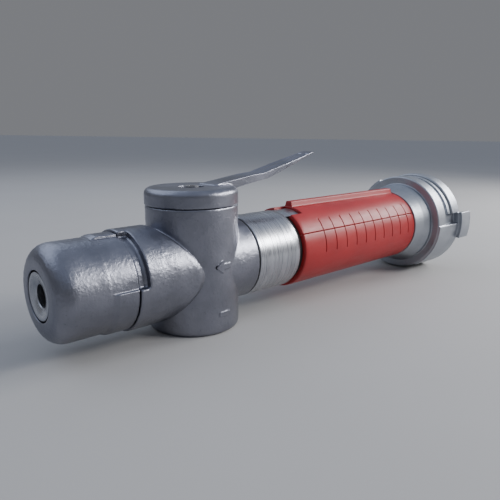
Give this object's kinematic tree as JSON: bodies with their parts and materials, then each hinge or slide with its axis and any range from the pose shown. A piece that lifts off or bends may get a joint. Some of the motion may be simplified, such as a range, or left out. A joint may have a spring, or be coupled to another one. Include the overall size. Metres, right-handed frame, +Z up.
{
  "type": "fire hose nozzle",
  "caption": "Hand-held combined straight-jet and spray fire hose nozzle with a plug valve, lever on top, red grip and a claw coupling at the rear.",
  "frame": {"origin": "centre of the coupling's mating face, on the barrel axis", "axes": "+X along the barrel towards the hose, so the jet leaves towards -X; +Z up, the side the lever is on; +Y to the left seen from behind the nozzle"},
  "size_m": [0.402, 0.098, 0.1166],
  "materials": {
    "cast_aluminium": "satin cast skin, bluish grey, softly pitted",
    "coupling_aluminium": "cast and turned, satin",
    "machined_aluminium": "turned, fine lines",
    "red_plastic": "semi-matte moulded plastic",
    "rubber": "matte black rubber",
    "brass": "turned brass",
    "screw_steel": "zinc-plated steel",
    "spring_steel": "dark spring steel"
  },
  "bodies": {
    "body": {"valve_body": "cast_aluminium", "bottom_cover": "machined_aluminium", "cover_oring": "rubber", "disc_springs": "spring_steel", "thrust_washer": "brass", "lever_stop_pin": "screw_steel", "jet_tube": "brass", "nozzle_tip": "machined_aluminium", "head_oring": "rubber", "head_snap_ring": "spring_steel", "neck_seal": "rubber", "union_sleeve": "machined_aluminium", "union_gasket": "rubber", "barrel_tube": "machined_aluminium", "flow_straightener": "machined_aluminium", "grip_front_ring": "rubber", "grip_upper": "red_plastic", "grip_lower": "red_plastic", "grip_screws": "screw_steel", "coupling_head": "coupling_aluminium", "coupling_seal": "rubber", "coupling_gasket": "rubber", "coupling_lock_screw": "screw_steel"},
    "valve": {"plug": "brass", "stem_oring": "rubber", "lever": "cast_aluminium", "lever_washer": "screw_steel", "lever_screw": "screw_steel"},
    "head": {"spray_head": "cast_aluminium", "spray_disc": "brass"}
  },
  "joints": [
    {"name": "lever_turn", "type": "hinge", "parent": "body", "child": "valve", "pos_m": [-0.2845, 0, 0], "axis": [0, 0, 1], "range_deg": [-90, 90]},
    {"name": "head_turn", "type": "hinge", "parent": "body", "child": "head", "pos_m": [-0.35, 0, 0], "axis": [1, 0, 0], "range_deg": [0, 60]}
  ]
}
